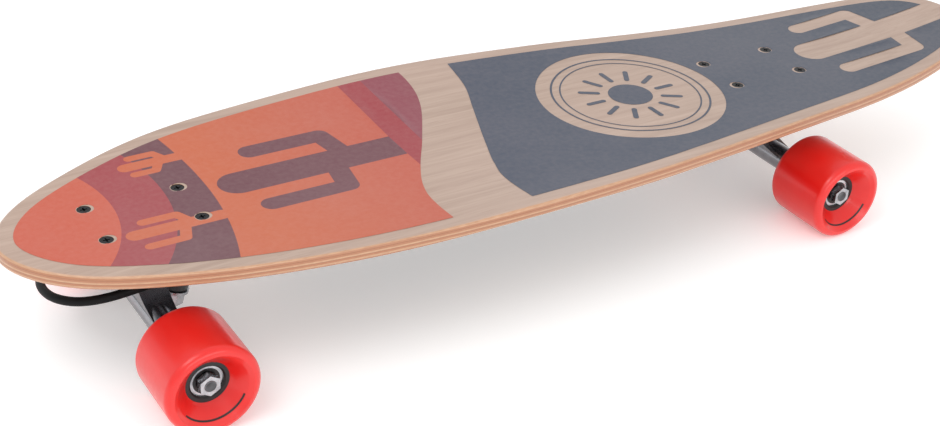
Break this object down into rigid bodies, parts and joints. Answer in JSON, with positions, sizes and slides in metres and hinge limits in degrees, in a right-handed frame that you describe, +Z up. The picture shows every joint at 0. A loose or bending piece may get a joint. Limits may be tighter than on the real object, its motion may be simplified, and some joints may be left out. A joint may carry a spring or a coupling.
{
  "type": "electric skateboard",
  "caption": "Cruiser skateboard with a printed maple deck, sprung trucks, red wheels, a hub motor in one wheel and a battery box under the deck.",
  "frame": {"origin": "on the floor under the centre of the overall box", "axes": "+X along the board to its pointed nose, +Y to the rider's left, +Z up"},
  "size_m": [0.812, 0.241, 0.1059],
  "materials": {
    "maple": "lacquered seven-ply maple with a printed top",
    "black_steel": "black oxide steel",
    "zinc_steel": "zinc plated steel",
    "cast_aluminium": "sand-tumbled cast aluminium",
    "bushing_urethane": "firm black urethane",
    "wheel_urethane": "glossy red urethane",
    "wheel_core": "black nylon core",
    "bearing_steel": "ground and polished bearing steel",
    "motor_aluminium": "black anodised aluminium",
    "magnet": "nickel plated magnet",
    "lamination": "stacked steel laminations",
    "copper": "enamelled copper wire",
    "cable_rubber": "black rubber cable jacket",
    "box_plastic": "black textured ABS",
    "cell_wrap": "blue shrink-wrapped steel cells",
    "circuit_board": "green circuit board",
    "button_metal": "brushed stainless button",
    "cap_rubber": "black rubber cap"
  },
  "bodies": {
    "board": {"deck": "maple", "deck_bolts": "black_steel", "deck_locknuts": "zinc_steel", "enclosure": "box_plastic", "enclosure_screws": "black_steel", "battery_cells": "cell_wrap", "bms_board": "circuit_board", "controller_board": "circuit_board", "charge_port": "box_plastic", "cable_gland": "box_plastic", "motor_cable": "cable_rubber", "nose_baseplate": "cast_aluminium", "nose_pivot_cup": "bushing_urethane", "nose_kingpin": "black_steel", "nose_kingpin_nut": "zinc_steel", "nose_bushings": "bushing_urethane", "nose_bushing_washers": "zinc_steel", "tail_baseplate": "cast_aluminium", "tail_pivot_cup": "bushing_urethane", "tail_kingpin": "black_steel", "tail_kingpin_nut": "zinc_steel", "tail_bushings": "bushing_urethane", "tail_bushing_washers": "zinc_steel"},
    "nose_truck": {"nose_hanger": "cast_aluminium", "nose_axle": "zinc_steel", "nose_axle_nut": "zinc_steel", "nose_speed_washers": "zinc_steel", "nose_inner_races": "bearing_steel", "motor_shaft": "zinc_steel", "motor_stator": "lamination", "motor_windings": "copper"},
    "tail_truck": {"tail_hanger": "cast_aluminium", "tail_axle": "zinc_steel", "tail_axle_nuts": "zinc_steel", "tail_speed_washers": "zinc_steel", "tail_inner_races": "bearing_steel"},
    "motor_wheel": {"motor_tyre": "wheel_urethane", "motor_can": "motor_aluminium", "motor_magnets": "magnet", "motor_cover": "motor_aluminium", "motor_cover_screws": "black_steel", "motor_outer_races": "bearing_steel"},
    "motor_ball_set": {"motor_balls": "bearing_steel"},
    "power_button": {"power_button": "button_metal"},
    "port_cap": {"port_cap": "cap_rubber"},
    "nose_left_wheel": {"nose_left_tyre": "wheel_urethane", "nose_left_core": "wheel_core", "nose_left_outer_races": "bearing_steel", "nose_left_shields": "bearing_steel"},
    "nose_left_ball_set": {"nose_left_balls": "bearing_steel"},
    "tail_left_wheel": {"tail_left_tyre": "wheel_urethane", "tail_left_core": "wheel_core", "tail_left_outer_races": "bearing_steel", "tail_left_shields": "bearing_steel"},
    "tail_left_ball_set": {"tail_left_balls": "bearing_steel"},
    "tail_right_wheel": {"tail_right_tyre": "wheel_urethane", "tail_right_core": "wheel_core", "tail_right_outer_races": "bearing_steel", "tail_right_shields": "bearing_steel"},
    "tail_right_ball_set": {"tail_right_balls": "bearing_steel"}
  },
  "joints": [
    {"name": "nose_steer", "type": "hinge", "parent": "board", "child": "nose_truck", "pos_m": [0.2896, 0, 0.046], "axis": [0.9135, 0, 0.4067], "range_deg": [-10, 10], "stiffness_Nm_per_rad": 28, "deforming": ["nose_bushings", "motor_cable"]},
    {"name": "tail_steer", "type": "hinge", "parent": "board", "child": "tail_truck", "pos_m": [-0.1717, 0, 0.046], "axis": [0.9135, 0, -0.4067], "range_deg": [-10, 10], "stiffness_Nm_per_rad": 28, "deforming": ["tail_bushings"]},
    {"name": "nose_left_spin", "type": "hinge", "parent": "nose_truck", "child": "nose_left_wheel", "pos_m": [0.316, 0, 0.0314], "axis": [0, 1, 0], "continuous": true},
    {"name": "motor_spin", "type": "hinge", "parent": "nose_truck", "child": "motor_wheel", "pos_m": [0.316, 0, 0.0314], "axis": [0, 1, 0], "continuous": true},
    {"name": "tail_left_spin", "type": "hinge", "parent": "tail_truck", "child": "tail_left_wheel", "pos_m": [-0.1981, 0, 0.0314], "axis": [0, 1, 0], "continuous": true},
    {"name": "tail_right_spin", "type": "hinge", "parent": "tail_truck", "child": "tail_right_wheel", "pos_m": [-0.1981, 0, 0.0314], "axis": [0, 1, 0], "continuous": true},
    {"name": "nose_left_ball_orbit", "type": "hinge", "parent": "nose_truck", "child": "nose_left_ball_set", "pos_m": [0.316, 0, 0.0314], "axis": [0, 1, 0], "continuous": true},
    {"name": "motor_ball_orbit", "type": "hinge", "parent": "nose_truck", "child": "motor_ball_set", "pos_m": [0.316, 0, 0.0314], "axis": [0, 1, 0], "continuous": true},
    {"name": "tail_left_ball_orbit", "type": "hinge", "parent": "tail_truck", "child": "tail_left_ball_set", "pos_m": [-0.1981, 0, 0.0314], "axis": [0, 1, 0], "continuous": true},
    {"name": "tail_right_ball_orbit", "type": "hinge", "parent": "tail_truck", "child": "tail_right_ball_set", "pos_m": [-0.1981, 0, 0.0314], "axis": [0, 1, 0], "continuous": true},
    {"name": "power_button_press", "type": "slide", "parent": "board", "child": "power_button", "axis": [0, 1, 0], "range_m": [0, 0.0012], "stiffness_N_per_m": 600},
    {"name": "port_cap_hinge", "type": "hinge", "parent": "board", "child": "port_cap", "pos_m": [0.05811, -0.05345, 0.0691], "axis": [0, 0, -1], "range_deg": [0, 110]}
  ],
  "couplings": [
    {"joint": "nose_left_ball_orbit", "follows": "nose_left_spin", "ratio": 0.632},
    {"joint": "motor_ball_orbit", "follows": "motor_spin", "ratio": 0.61},
    {"joint": "tail_left_ball_orbit", "follows": "tail_left_spin", "ratio": 0.632},
    {"joint": "tail_right_ball_orbit", "follows": "tail_right_spin", "ratio": 0.632}
  ]
}
